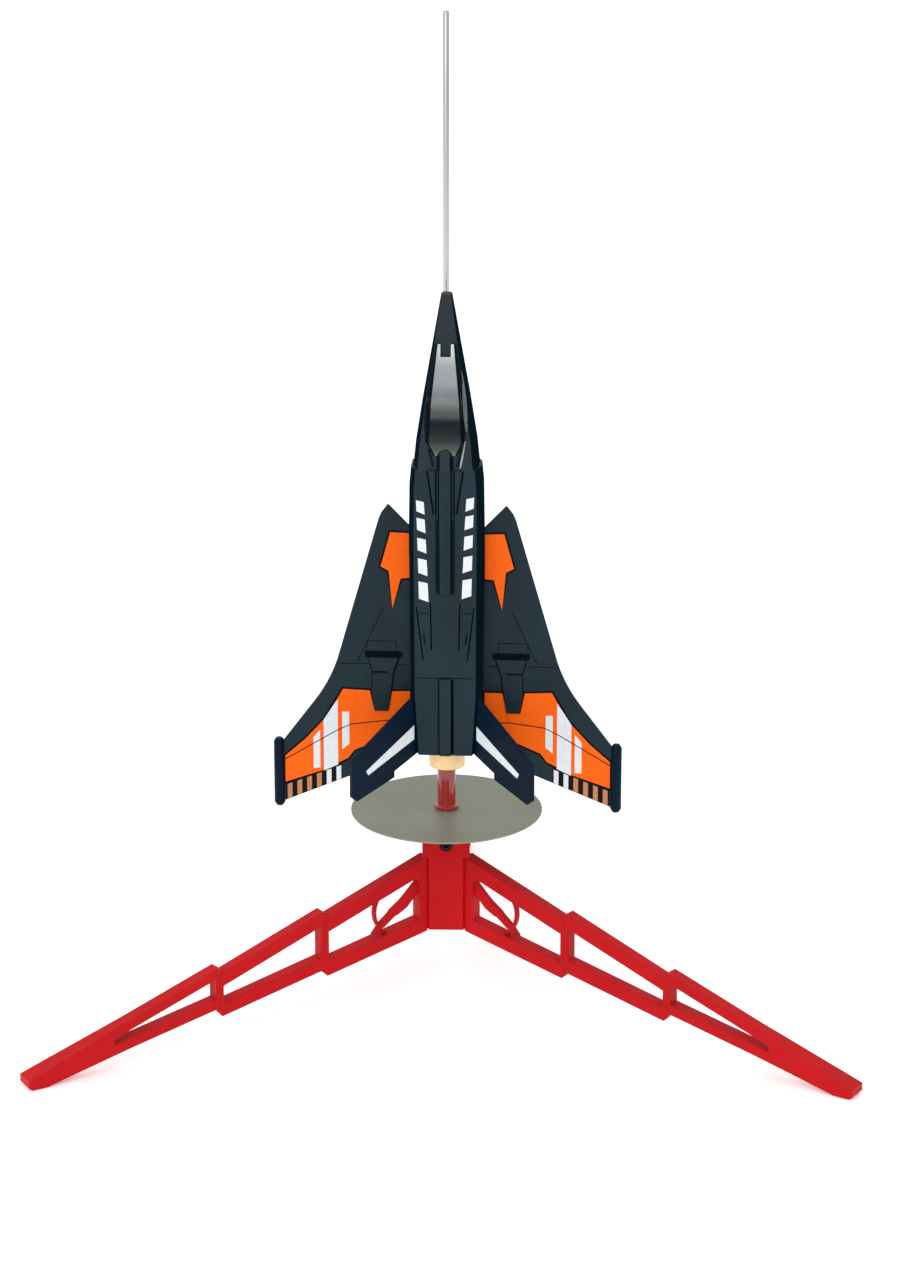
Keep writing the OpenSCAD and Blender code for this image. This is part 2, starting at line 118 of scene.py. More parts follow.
def make_camera():
    turn = Matrix.Rotation(CAMERA_TURN, 3, "Z")
    back = CAMERA_DISTANCE * math.cos(CAMERA_RISE)
    offset = turn @ Vector((CAMERA_SIDE, -back, CAMERA_DISTANCE * math.sin(CAMERA_RISE)))
    data = bpy.data.cameras.new("camera")
    data.lens = LENS
    data.sensor_width = FILM_GATE
    data.clip_start, data.clip_end = 0.05, 60
    cam = bpy.data.objects.new("camera", data)
    bpy.context.scene.collection.objects.link(cam)
    cam.location = (Vector((HUB.x, HUB.y, PLATE_TOP)) + offset) * MM
    cam.rotation_euler = (math.pi / 2 - CAMERA_PITCH, 0, CAMERA_TURN)
    bpy.context.scene.camera = cam


def make_dome():
    """A white dome that is brighter overhead and to the left."""
    world = bpy.data.worlds.new("studio")
    bpy.context.scene.world = world
    world.use_nodes = True
    tree = world.node_tree
    sky = tree.nodes["Background"]
    sky.inputs["Color"].default_value = (1, 1, 1, 1)
    direction = tree.nodes.new("ShaderNodeTexCoord")
    axis = tree.nodes.new("ShaderNodeSeparateXYZ")
    tree.links.new(direction.outputs["Generated"], axis.inputs["Vector"])
    blend = tree.nodes.new("ShaderNodeMath")
    blend.operation = "MULTIPLY"
    tree.links.new(blend.outputs["Value"], sky.inputs["Strength"])
    ranges = (("X", (-1, 1, *DOME_SIDES)), ("Z", (0, 1, *DOME_RISE)))
    for i, (name, numbers) in enumerate(ranges):
        spread = tree.nodes.new("ShaderNodeMapRange")
        for key, number in zip(("From Min", "From Max", "To Min", "To Max"), numbers):
            spread.inputs[key].default_value = number
        tree.links.new(axis.outputs[name], spread.inputs["Value"])
        tree.links.new(spread.outputs["Result"], blend.inputs[i])


def make_key_light():
    data = bpy.data.lights.new("key", "AREA")
    data.size = KEY_SIZE
    data.energy = KEY_WATTS
    lamp = bpy.data.objects.new("key", data)
    bpy.context.scene.collection.objects.link(lamp)
    lamp.location = KEY_PLACE
    aim = Vector(KEY_TARGET) - Vector(KEY_PLACE)
    lamp.rotation_euler = aim.to_track_quat("-Z", "Y").to_euler()


def make_floor():
    """A pale matt floor that glows a little, so that it meets the dome without an edge."""
    bpy.ops.mesh.primitive_grid_add(x_subdivisions=8, y_subdivisions=8, size=FLOOR_SIZE)
    floor = bpy.context.object
    floor.name = "floor"
    floor.location.z = -FLOOR_DROP
    paint = bpy.data.materials.new("floor_pale")
    paint.use_nodes = True
    shader = paint.node_tree.nodes["Principled BSDF"]
    shader.inputs["Base Color"].default_value = (0.97, 0.97, 0.97, 1)
    shader.inputs["Roughness"].default_value = 0.8
    shader.inputs["Specular IOR Level"].default_value = 0.1
    shader.inputs["Emission Color"].default_value = (1, 1, 1, 1)
    shader.inputs["Emission Strength"].default_value = FLOOR_GLOW
    floor.data.materials.append(paint)


def make_stage():
    make_dome()
    make_key_light()
    make_floor()
    bpy.context.scene.view_settings.view_transform = "Standard"


# ---------- materials ----------

class Paint:
    """A node material on one Principled shader, with helpers that add procedural detail."""

    def __init__(self, name, colour, rough, **sockets):
        self.material = bpy.data.materials.new(name)
        self.material.use_nodes = True
        self.tree = self.material.node_tree
        self.shader = self.tree.nodes["Principled BSDF"]
        self.colour = (*colour, 1)
        self.shader.inputs["Base Color"].default_value = self.colour
        self.shader.inputs["Roughness"].default_value = rough
        for socket, value in sockets.items():
            self.shader.inputs[socket.replace("_", " ")].default_value = value
        self.place = self.node("ShaderNodeTexCoord").outputs["Object"]

    def node(self, kind, **settings):
        made = self.tree.nodes.new(kind)
        for key, value in settings.items():
            setattr(made, key, value)
        return made

    def link(self, a, b):
        self.tree.links.new(a, b)

    def stretched(self, scale):
        mapping = self.node("ShaderNodeMapping")
        mapping.inputs["Scale"].default_value = scale
        self.link(self.place, mapping.inputs["Vector"])
        return mapping.outputs["Vector"]

    def noise(self, scale, detail=3, stretch=None, rough=0.5):
        noise = self.node("ShaderNodeTexNoise")
        noise.inputs["Scale"].default_value = scale
        noise.inputs["Detail"].default_value = detail
        noise.inputs["Roughness"].default_value = rough
        self.link(self.stretched(stretch) if stretch else self.place, noise.inputs["Vector"])
        return noise.outputs["Fac"]

    def ramp(self, value, stops, smooth=False):
        ramp = self.node("ShaderNodeValToRGB")
        if smooth:
            ramp.color_ramp.interpolation = "EASE"
        points = ramp.color_ramp.elements
        points[0].position, points[0].color = stops[0][0], (*stops[0][1], 1)
        points[1].position, points[1].color = stops[-1][0], (*stops[-1][1], 1)
        for at, colour in stops[1:-1]:
            points.new(at).color = (*colour, 1)
        self.link(value, ramp.inputs["Fac"])
        return ramp.outputs["Color"]

    def spread(self, value, a, b, from_a=0.3, from_b=0.7):
        spread = self.node("ShaderNodeMapRange")
        limits = {"From Min": from_a, "From Max": from_b, "To Min": a, "To Max": b}
        for key, number in limits.items():
            spread.inputs[key].default_value = number
        self.link(value, spread.inputs["Value"])
        return spread.outputs["Result"]

    def mottle(self, scale, amount, **noise):
        """Lets the colour drift a little lighter and darker."""
        c = self.colour[:3]
        darker = [v * (1 - amount) for v in c]
        lighter = [min(1, v * (1 + amount)) for v in c]
        self.base(self.ramp(self.noise(scale, **noise), [(0.3, darker), (0.7, lighter)]))

    def gloss(self, scale, a, b, **noise):
        """Lets the roughness drift between two values."""
        fac = self.spread(self.noise(scale, **noise), a, b)
        self.link(fac, self.shader.inputs["Roughness"])

    def bump(self, height, depth_mm, strength=1.0):
        """Adds relief on top of any relief that is already there."""
        bump = self.node("ShaderNodeBump")
        bump.inputs["Strength"].default_value = strength
        bump.inputs["Distance"].default_value = depth_mm * MM
        self.link(height, bump.inputs["Height"])
        previous = self.shader.inputs["Normal"].links
        if previous:
            self.link(previous[0].from_socket, bump.inputs["Normal"])
        self.link(bump.outputs["Normal"], self.shader.inputs["Normal"])

    def base(self, colour_socket):
        self.link(colour_socket, self.shader.inputs["Base Color"])


def moulded(name, colour, rough, grain=0.02, drift=0.10, **sockets):
    """Injection-moulded plastic: faint flow marks, a fine satin grain and uneven gloss."""
    paint = Paint(name, colour, rough, **sockets)
    paint.mottle(38, drift, detail=4, stretch=(1, 1, 0.45))
    paint.gloss(90, rough - 0.05, rough + 0.08, detail=3)
    paint.bump(paint.noise(900, detail=2), grain)
    paint.bump(paint.noise(60, detail=1), grain * 4, 0.35)
    return paint.material


def print_film(name, colour, rough=0.42, shine=0.2):
    """Printed decal film: flat ink with a faint screen grain."""
    paint = Paint(name, colour, rough, Specular_IOR_Level=shine)
    paint.mottle(700, 0.05, detail=1)
    paint.gloss(60, rough - 0.06, rough + 0.06)
    paint.bump(paint.noise(1200, detail=1), 0.008)
    return paint.material


def brushed(name, colour, rough, stretch, grain=0.004, drift=0.10):
    """Drawn or rolled metal with fine lines along one direction."""
    paint = Paint(name, colour, rough, Metallic=1.0)
    paint.mottle(220, drift, detail=4, stretch=stretch)
    paint.gloss(260, rough - 0.07, rough + 0.10, detail=4, stretch=stretch)
    paint.bump(paint.noise(900, detail=2, stretch=stretch), grain)
    return paint.material


def paper(name, colour, rough, grain=0.05, drift=0.12, pitch=26):
    """Spiral-wound paper: long fibres and a faint seam that winds round the tube."""
    paint = Paint(name, colour, rough)
    paint.mottle(160, drift, detail=6, stretch=(1, 1, 0.3))
    paint.bump(paint.noise(700, detail=4, stretch=(1, 1, 0.4)), grain)
    seam = paint.node("ShaderNodeTexWave", wave_type="BANDS", bands_direction="DIAGONAL")
    seam.inputs["Scale"].default_value = 1000 / pitch / 3
    paint.link(paint.place, seam.inputs["Vector"])
    paint.bump(seam.outputs["Fac"], grain * 0.8, 0.4)
    return paint.material


def pressed_clay():
    clay = Paint("pressed_clay", (0.40, 0.36, 0.31), 0.9)
    clay.mottle(260, 0.16, detail=5)
    clay.bump(clay.noise(600, detail=6), 0.10)
    return clay.material


def mirror_foil(name, stops, bottom, top, rough=0.16):
    """Mirror foil whose colour follows a ramp from bottom to top, heights in mm."""
    paint = Paint(name, (0.5, 0.5, 0.5), rough, Metallic=0.85)
    axis = paint.node("ShaderNodeSeparateXYZ")
    paint.link(paint.place, axis.inputs["Vector"])
    rise = paint.spread(axis.outputs["Z"], 0, 1, bottom * MM, top * MM)
    paint.base(paint.ramp(rise, stops, smooth=True))
    paint.gloss(120, rough - 0.04, rough + 0.08)
    paint.bump(paint.noise(90, detail=1), 0.03, 0.3)
    return paint.material


PLASTIC_DARK = moulded(
    "plastic_dark", (0.0078, 0.0212, 0.0305), 0.42, drift=0.16, Specular_IOR_Level=0.16
)
PLASTIC_NOSE = moulded(
    "plastic_nose", (0.014, 0.024, 0.029), 0.42, drift=0.14, Specular_IOR_Level=0.18
)
# Painted shade: a darker copy of the airframe's plastic, without specular, for its sides.
PLASTIC_FLANK_SHADE = moulded(
    "plastic_flank_painted_shade", (0.0025, 0.0088, 0.0155), 0.60, drift=0.16, Specular_IOR_Level=0.0
)
PLASTIC_NAVY = moulded(
    "plastic_navy", (0.0006, 0.009, 0.023), 0.40, drift=0.18, Specular_IOR_Level=0.08
)
PLASTIC_RED = moulded(
    "plastic_red", (0.50, 0.0055, 0.0085), 0.50, grain=0.015, drift=0.08, Specular_IOR_Level=0.10
)
TUBE_RED = moulded(
    "tube_red", (0.40, 0.014, 0.014), 0.10, grain=0.003, drift=0.10, Coat_Weight=0.6
)
STEEL_ROD = brushed("steel_rod", (0.50, 0.48, 0.46), 0.34, (1, 1, 0.04))
STEEL_BOLT = brushed("black_oxide_steel", (0.030, 0.026, 0.028), 0.50, (1, 0.1, 1))
LINE_BLACK = print_film("line_black", (0.001, 0.003, 0.006), 0.6, 0.04)
FILM_ORANGE = print_film("film_orange", (0.93, 0.128, 0.004), 0.5, 0.1)
FILM_WHITE = print_film("film_white", (0.72, 0.76, 0.80))
FILM_BLACK = print_film("film_black", (0.005, 0.005, 0.006), 0.5, 0.08)
FILM_BUFF = print_film("film_buff", (0.50, 0.21, 0.085))
PAPER_DARK = paper("paper_dark", (0.012, 0.024, 0.032), 0.5)
PAPER_KRAFT = paper("paper_kraft", (0.42, 0.27, 0.14), 0.75)
CLAY = pressed_clay()


# ---------- mesh helpers ----------

WELD = 2e-6                     # points of a CAD mesh that are closer are one point, in metres
FLAT_ANGLE = math.radians(0.6)  # faces that bend less than this are one face


def to_object(name, bm, material, place=None, smooth=40):
    """Turns a bmesh into an object: in mm when a place is given, else already in the frame."""
    bmesh.ops.recalc_face_normals(bm, faces=bm.faces)
    mesh = bpy.data.meshes.new(name)
    bm.to_mesh(mesh)
    bm.free()
    if place is not None:
        mesh.transform(place)
    mesh.polygons.foreach_set("use_smooth", [True] * len(mesh.polygons))
    mesh.set_sharp_from_angle(angle=math.radians(smooth))
    mesh.materials.append(material)
    made = bpy.data.objects.new(name, mesh)
    bpy.context.scene.collection.objects.link(made)
    return made


def apply_modifiers(made):
    """Bakes an object's modifiers into its mesh."""
    bpy.context.view_layer.update()
    done = made.evaluated_get(bpy.context.evaluated_depsgraph_get())
    mesh = bpy.data.meshes.new_from_object(done)
    old = made.data
    made.modifiers.clear()
    made.data = mesh
    bpy.data.meshes.remove(old)
    return made


def soften(made, width, segments=2):
    """Rounds an object's sharp edges by a width in mm and evens its shading."""
    bevel = made.modifiers.new("bevel", "BEVEL")
    bevel.width = width * MM
    bevel.segments = segments
    bevel.limit_method = "ANGLE"
    bevel.angle_limit = math.radians(32)
    bevel.harden_normals = True
    apply_modifiers(made)


def from_cad(node, name, material, width, segments=2):
    """A copy of a CAD node with rounded edges and its own finish, which stands for the node."""
    bm = bmesh.new()
    bm.from_mesh(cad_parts[node].data)
    bmesh.ops.remove_doubles(bm, verts=bm.verts, dist=WELD)
    bmesh.ops.dissolve_limit(bm, angle_limit=FLAT_ANGLE, verts=bm.verts, edges=bm.edges)
    made = to_object(name, bm, material)
    if width:
        soften(made, width, segments)
    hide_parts(node)
    return made


def finish_piece(made, body):
    """Puts a piece on its body."""
    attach(made, body)
    return made


def refined(node, kind, material, width, body, segments=2):
    """A whole piece made from a CAD node, named after it."""
    return finish_piece(from_cad(node, f"{node}_{kind}", material, width, segments), body)


def add_loop(bm, points):
    return [bm.verts.new(p) for p in points]


def join_loops(bm, a, b, closed=True):
    """Quads between two loops with the same number of points."""
    n = len(a)
    for i in range(n if closed else n - 1):
        j = (i + 1) % n
        bm.faces.new((a[i], a[j], b[j], b[i]))


def mix(a, b, t):
    return a + (b - a) * t


def between(table, z):
    """Row of numbers at height z from a table of rows whose first entry is a height."""
    if z <= table[0][0]:
        return table[0][1:]
    for p, q in zip(table, table[1:]):
        if z <= q[0]:
            t = (z - p[0]) / (q[0] - p[0])
            return [mix(u, v, t) for u, v in zip(p[1:], q[1:])]
    return table[-1][1:]


def extrude_outline(bm, outline, y0, y1, side=1):
    """Adds a closed plate: an (x, z) outline between two depths, mirrored when side is -1."""
    if side < 0:
        outline = [(-x, z) for x, z in reversed(outline)]
    near = add_loop(bm, [(x, y0, z) for x, z in outline])
    far = add_loop(bm, [(x, y1, z) for x, z in outline])
    faces = [bm.faces.new(near), bm.faces.new(reversed(far))]
    join_loops(bm, far, near)
    bmesh.ops.triangulate(bm, faces=faces, ngon_method="EAR_CLIP")


def stroke(points, width):
    """Outline of a line with the given width through (x, z) points."""
    left, right = [], []
    for i, p in enumerate(points):
        a = Vector(points[max(i - 1, 0)])
        b = Vector(points[min(i + 1, len(points) - 1)])
        n = (b - a).normalized()
        n = Vector((-n.y, n.x)) * width / 2
        left.append(tuple(Vector(p) + n))
        right.append(tuple(Vector(p) - n))
    return left + right[::-1]


def markings(name, material, outlines, y, proud, sides=(1, -1), sunk=0.05):
    """Printed or raised pieces on the rocket that stand on a plane facing -y, as one object."""
    bm = bmesh.new()
    for outline in outlines:
        for side in sides:
            extrude_outline(bm, outline, y - proud, y + sunk, side)
    return finish_piece(to_object(name, bm, material, ROCKET_PLACE), "rocket")


def tube_along(bm, points, radius, sides=6):
    """A closed tube along a list of points, in mm."""
    loops, up = [], Vector((0, 0, 1))
    for i, p in enumerate(points):
        a, b = points[max(i - 1, 0)], points[min(i + 1, len(points) - 1)]
        t = (Vector(b) - Vector(a)).normalized()
        u = t.cross(up)
        u = u.normalized() if u.length > 1e-6 else Vector((1, 0, 0))
        v = t.cross(u)
        ring = []
        for k in range(sides):
            angle = 2 * math.pi * k / sides
            ring.append(Vector(p) + (u * math.cos(angle) + v * math.sin(angle)) * radius)
        loops.append(add_loop(bm, ring))
    for a, b in zip(loops, loops[1:]):
        join_loops(bm, a, b)
    bm.faces.new(reversed(loops[0]))
    bm.faces.new(loops[-1])


def cut(made, cutter_bm):
    """Cuts grooves out of a piece and paints them black inside, as painted shade in the recesses."""
    cutter = to_object("cutter", cutter_bm, LINE_BLACK, ROCKET_PLACE)
    knife = made.modifiers.new("cut", "BOOLEAN")
    knife.operation = "DIFFERENCE"
    knife.solver = "EXACT"
    knife.material_mode = "TRANSFER"
    knife.object = cutter
    apply_modifiers(made)
    bpy.data.objects.remove(cutter)
    return even_shading(made)


def even_shading(made):
    """Flat faces shade flat after a cut: large faces lead the normals of their edges."""
    made.data.set_sharp_from_angle(angle=math.radians(35))
    weigh = made.modifiers.new("weigh", "WEIGHTED_NORMAL")
    weigh.weight = 100
    weigh.keep_sharp = True
    return apply_modifiers(made)


def paint_faces(made, material, choose):
    """Gives the material to those faces in the first slot that choose(centre, normal) picks."""
    back = ROCKET_PLACE.inverted()
    turn = back.to_3x3().normalized()
    added = len(made.data.materials)
    made.data.materials.append(material)
    for face in made.data.polygons:
        if face.material_index == 0:
            if choose(back @ face.center, (turn @ face.normal).normalized()):
                face.material_index = added
    return made


def is_flank(centre, normal):
    """True on the airframe's steep sides and their rounded edges, and on the spine's steep sides."""
    beside_spine = abs(centre.x) < SPINE_REACH and centre.z < NOSE_BASE + SPINE_RISE
    return abs(normal.x) > (0.6 if beside_spine else 0.2)


def paint_flank_shade(made):
    """Painted shade: the airframe's sides get a darker plastic without specular than its back and
    belly.
    """
    return paint_faces(made, PLASTIC_FLANK_SHADE, is_flank)


# ---------- launch pad ----------

def make_pad():
    legs = [f"leg_{a}_{b}" for a in ("rear", "left", "right") for b in ("inner", "middle", "outer")]
    for node in legs + ["pad_hub"]:
        refined(node, "moulding", PLASTIC_RED, 0.55, "tripod")
    refined("tilt_head", "moulding", PLASTIC_RED, 0.5, "head")
    for node in ("pivot_bolt", "pivot_nut"):
        refined(node, "plated", STEEL_BOLT, 0.25, "tripod")
    refined("rod_lower", "wire", STEEL_ROD, 0, "head")
    refined("rod_upper", "wire", STEEL_ROD, 0, "rod_top")


def make_deflector():
    sheet = Paint(
        "deflector_sheet", (0.250, 0.262, 0.205), 0.50, Metallic=0.25, Specular_IOR_Level=0.25
    )
    sheet.mottle(30, 0.03, detail=3)
    sheet.gloss(900, 0.42, 0.52, detail=2)
    sheet.bump(sheet.noise(2600, detail=1), 0.002)
    disc = from_cad("deflector_plate", "deflector_disc", sheet.material, 0.22)
    finish_piece(disc, "deflector")
    refined("standoff", "tube", TUBE_RED, 0.35, "deflector", 3)


# ---------- airframe ----------

WING_FACE = 2.0      # depth of the wings' back face
BACK_FACE = -16.0    # depth of the fuselage's flat back
BED_FACE = -16.9     # depth of the raised bed beside the spine
INK = 0.07           # how far printed film stands proud


def groove(bm, points, width, side=1, depth=0.6, y=BACK_FACE):
    """Adds a cutter for a groove along (x, z) points. Grooves may not overlap each other."""
    extrude_outline(bm, stroke(points, width), y - 1, y + depth, side)


def make_fuselage():
    """Both halves of the shell, with the upper one's panel lines, and the tubes they hold."""
    upper = from_cad("fuselage_upper", "fuselage_upper_moulding", PLASTIC_DARK, 0.7, 3)
    bm = bmesh.new()
    for side in (1, -1):
        groove(bm, [(7.9, 242.5), (7.3, 216)], 0.75, side)
        groove(bm, [(15.4, 240), (11.8, 210)], 0.75, side)
        groove(bm, [(11.4, 225), (10.9, 219)], 0.7, side)
        groove(bm, [(9.2, 236.6), (14.2, 236.6)], 0.45, side, 0.4)
        # Painted shade: black-filled grooves along the spine's sides, and a V from the canopy's corners
        # towards the spine for the shadows at the bed's sides.
        groove(bm, [(4.8, 249), (4.8, 288.8)], 0.55, side, 0.5)
        groove(bm, [(4.8, 288.9), (4.8, 315.9)], 0.8, side, 0.7, BED_FACE)
        groove(bm, [(9.6, 315.9), (6.2, 292)], 0.8, side)
    # Painted shadow: the groove on the tail rib's right side is wider than the left, for the rib's
    # shadow side.
    groove(bm, [(-3.35, 157), (-3.35, 199.3)], 0.7, depth=0.7)
    groove(bm, [(3.75, 157), (3.75, 199.3)], 1.5, depth=0.7)
    groove(bm, [(-15.3, 200), (15.3, 200)], 0.45, depth=0.35)
    groove(bm, [(-5, 247.9), (5, 247.9)], 0.6, depth=0.4)
    finish_piece(paint_flank_shade(cut(upper, bm)), "rocket")
    paint_flank_shade(refined("fuselage_lower", "moulding", PLASTIC_DARK, 0.7, "rocket", 3))
    refined("body_tube", "paper", PAPER_DARK, 0, "rocket")
    for node in ("launch_lug_front", "launch_lug_rear"):
        refined(node, "paper", PAPER_DARK, 0.1, "rocket")


def back_dashes():
    """Five white dashes down each shoulder of the fuselage's back, higher on the right."""
    rows = [(299.0, 292.5), (289.3, 282.2), (278.2, 270.9), (266.8, 258.3), (253.9, 243.8)]
    for name, side, lift in (("back_dashes_left", -1, 0), ("back_dashes_right", 1, 2.0)):
        outlines = []
        for i, (top, bottom) in enumerate(rows):
            top += lift
            bottom += lift
            out_x, in_x = 15.4 - 0.30 * i, 11.3 - 0.50 * i
            outlines.append([
                (in_x, top - 0.5), (out_x, top + 0.5),
                (out_x - 0.25, bottom + 0.9), (in_x - 0.45, bottom - 0.9)
            ])
        markings(name, FILM_WHITE, outlines, BACK_FACE, INK, (side,))


def make_wings():
    for side in ("left", "right"):
        refined(f"wing_{side}", "moulding", PLASTIC_DARK, 0.45, "rocket")
        refined(f"wing_rail_{side}", "moulding", PLASTIC_NAVY, 0.35, "rocket")
        refined(f"tail_fin_{side}", "moulding", PLASTIC_NAVY, 0.5, "rocket", 3)


ORANGE_PATCH = [
    (20.2, 275.5), (30.5, 275.9), (35.8, 256.6), (31.5, 254.2), (29.5, 233), (25.0, 250.0),
    (20.2, 250.4)
]
ORANGE_PANEL = [
    (20.2, 186), (29.8, 185.8), (31.9, 174.4), (39.6, 174.4), (42.0, 186.0), (56.5, 186.6),
    (60.2, 179.6), (66.5, 169.4), (77.5, 157.2), (88.4, 147.4), (88.4, 132.2), (68, 139.4),
    (54, 146.8), (50.5, 151.6), (36, 158.0), (24, 160.5), (20.2, 161.5)
]
WHITE_BARS = [
    [(59.5, 142.9), (67.3, 139.2), (67.3, 168.5), (62.6, 176.0), (59.5, 180.5)],
    [(69.2, 141), (72.9, 140.4), (72.9, 158.4), (69.2, 162.8)],
    [(53.3, 155), (57.2, 151.8), (57.2, 173.5), (53.3, 173.5)],
]
EDGING = 1.0         # how far the black edging shows round the orange
BAND_START = 57.3    # the band of bars runs out from here along the wing's trailing edge
BAND_END = 88.4
BAR_COUNT = 6
WHITE_COUNT = 2      # the inner bars are white, the others buff
BAR_PITCH = 5.36
BAR_WIDTH = 2.6


def grow(outline, by):
    """A clockwise outline pushed out by a distance on every side."""
    made = []
    for i, corner in enumerate(outline):
        a, b, c = Vector(outline[i - 1]), Vector(corner), Vector(outline[(i + 1) % len(outline)])
        u, v = (b - a).normalized(), (c - b).normalized()
        p, q = Vector((-u.y, u.x)), Vector((-v.y, v.x))
        made.append(tuple(b + (p + q) * by / max(1 + p.dot(q), 0.5)))
    return made


def wing_edge(x):
    """Height of the wing's trailing edge."""
    return 148.5 - 0.42 * (x - 24)


def bar_top(x):
    """Height of the top of the trailing edge's bars."""
    return mix(142.4, 130.4, (x - 58) / 30.4)


def make_wing_markings():
    orange = [ORANGE_PATCH, ORANGE_PANEL]
    edging = [grow(outline, EDGING) for outline in orange]
    markings("wing_edging", LINE_BLACK, edging, WING_FACE, INK / 2)
    markings("wing_orange", FILM_ORANGE, orange, WING_FACE, INK)
    band = [
        (BAND_START, 143.6), (68, 138.3), (BAND_END, 131.1),
        (BAND_END, wing_edge(BAND_END) + 0.5), (BAND_START, wing_edge(BAND_START) + 0.5)
    ]
    bars = []
    for i in range(BAR_COUNT):
        x0 = BAND_START + 0.6 + BAR_PITCH * i
        x1 = x0 + BAR_WIDTH
        bars.append([
            (x0, wing_edge(x0) + 0.45), (x1, wing_edge(x1) + 0.45), (x1, bar_top(x1)), (x0, bar_top(x0))
        ])
    white, buff = bars[:WHITE_COUNT], bars[WHITE_COUNT:]
    markings("trailing_edge_band", FILM_BLACK, [band], WING_FACE, INK)
    markings("wing_white", FILM_WHITE, WHITE_BARS, WING_FACE, 2 * INK)
    markings("trailing_edge_white", FILM_WHITE, white, WING_FACE, 2 * INK)
    markings("trailing_edge_buff", FILM_BUFF, buff, WING_FACE, 2 * INK)
    line = stroke([(20.2, 168.6), (34, 168.9), (52.5, 166.4), (60.5, 162.4), (88.4, 145.4)], 0.45)
    markings("wing_ink_lines", LINE_BLACK, [line], WING_FACE, 3 * INK)


COVER_RISE = 1.5     # how far the hinge cover, its tail and its bar stand above the wing
TAIL_RISE = 0.9
BAR_RISE = 1.0


def make_wing_fairings():
    """Raised hinge cover on each wing, with its dark bar, dark panel lines and painted shadow lines
    along the covers' sides.
    """
    cover = [(26.3, 205.2), (42.6, 205.2), (39.9, 196.4), (29.3, 196.4)]
    tail = [(29.3, 196.6), (40.3, 196.6), (40.8, 186), (39.4, 174.6), (32.1, 174.6), (30.5, 186)]
    bar = [(24.5, 205.4), (44.5, 205.4), (44.5, 208.4), (24.5, 208.4)]
    raised = (
        ("wing_hinge_covers", PLASTIC_DARK, cover, COVER_RISE, 0.35),
        ("wing_hinge_tails", PLASTIC_DARK, tail, TAIL_RISE, 0.3),
        ("wing_hinge_bars", LINE_BLACK, bar, BAR_RISE, 0.3),
    )
    for name, material, outline, rise, rounding in raised:
        soften(markings(name, material, [outline], WING_FACE, rise), rounding)
    lines = [
        stroke([(27.5, 209), (27.5, 214.5)], 0.4),
        stroke([(27.5, 214.3), (43.5, 214.3)], 0.4),
        stroke([(43.5, 214.5), (43.5, 209)], 0.4),
        stroke([(20.2, 201), (29, 201)], 0.4),
        stroke([(40.8, 201.2), (58.5, 201.2)], 0.4),
        stroke([(34.6, 233.4), (42, 216.5), (48.8, 202)], 0.4),
        # Painted shadow: dark lines along both sides of each hinge cover, wider on the inner side.
        stroke([(26.0, 205.0), (29.0, 196.2), (30.1, 186), (31.7, 174.9)], 0.7),
        stroke([(42.9, 205.0), (40.5, 196.2), (41.1, 186), (39.8, 174.9)], 0.5),
    ]
    markings("wing_panel_lines_and_cover_shadows", LINE_BLACK, lines, WING_FACE, 0.03)
    mark = stroke([(32, 197.2), (40.2, 197.2)], 0.9)
    top = WING_FACE - COVER_RISE
    markings("wing_hinge_marks", LINE_BLACK, [mark], top, 0.06, sunk=0.2)


FIN_ROOT = (17, -13)  # where a tail fin's middle plane starts, and half its thickness
FIN_HALF = 1.5
FIN_STRIPE = [(1.2, 172.6), (1.2, 164.6), (33.8, 151.9), (35.3, 154.6)]  # along the fin, height


def fin_stripes():
    """A tapering white stripe along each canted tail fin."""
    bm = bmesh.new()
    for side in (1, -1):
        out = Vector((side, -1, 0)).normalized()
        face = Vector((-side, -1, 0)).normalized()
        root = Vector((side * FIN_ROOT[0], FIN_ROOT[1], 0))
        loops = []
        for lift in (FIN_HALF + INK, FIN_HALF - 0.05):
            corners = [root + out * s + face * lift + Vector((0, 0, z)) for s, z in FIN_STRIPE]
            loops.append(add_loop(bm, corners[::side]))
        bm.faces.new(loops[0])
        bm.faces.new(reversed(loops[1]))
        join_loops(bm, loops[1], loops[0])
    finish_piece(to_object("tail_fin_stripes", bm, FILM_WHITE, ROCKET_PLACE), "rocket")


# ---------- nose ----------

NOSE_LEN = TIP - NOSE_BASE
NOSE_SHAPE = [  # height, half width and back of the nose cone's sections
    (NOSE_BASE, 17.4, 15.8), (NOSE_BASE + 0.15 * NOSE_LEN, 16, 15),
    (NOSE_BASE + 0.4 * NOSE_LEN, 12.4, 12.6), (NOSE_BASE + 0.74 * NOSE_LEN, 7, 7.6), (TIP, 2.85, 2.9)
]
FLAT_SHARE = 0.84       # how much of the nose's width is its flat back
FLANK_SHARE = 0.35      # how much of its depth is left where the flank is widest
CANOPY_SHAPE = [  # height, half width and depth of the canopy's top face
    (NOSE_BASE + 8.2, 6, 16.6), (NOSE_BASE + 15, 9.2, 17.4), (NOSE_BASE + 37, 8.1, 16.2),
    (NOSE_BASE + 60, 5.7, 11), (NOSE_BASE + 67, 5, 9.1)
]
GLASS_RANGE = (CANOPY_SHAPE[0][0], CANOPY_SHAPE[-1][0])


def on_nose(q, z, lift):
    """Point on the nose: q runs 0 to 1 over half its back, 1 to 2 down the sloping flank."""
    w, b = between(NOSE_SHAPE, z)
    slope = Vector(((1 - FLANK_SHARE) * b, -(1 - FLAT_SHARE) * w)).normalized()
    if q <= 1:
        return (FLAT_SHARE * w * q, -b - lift, z)
    x = mix(FLAT_SHARE * w, w, q - 1)
    y = mix(-b, -FLANK_SHARE * b, q - 1)
    return (x + slope.x * lift, y + slope.y * lift, z)


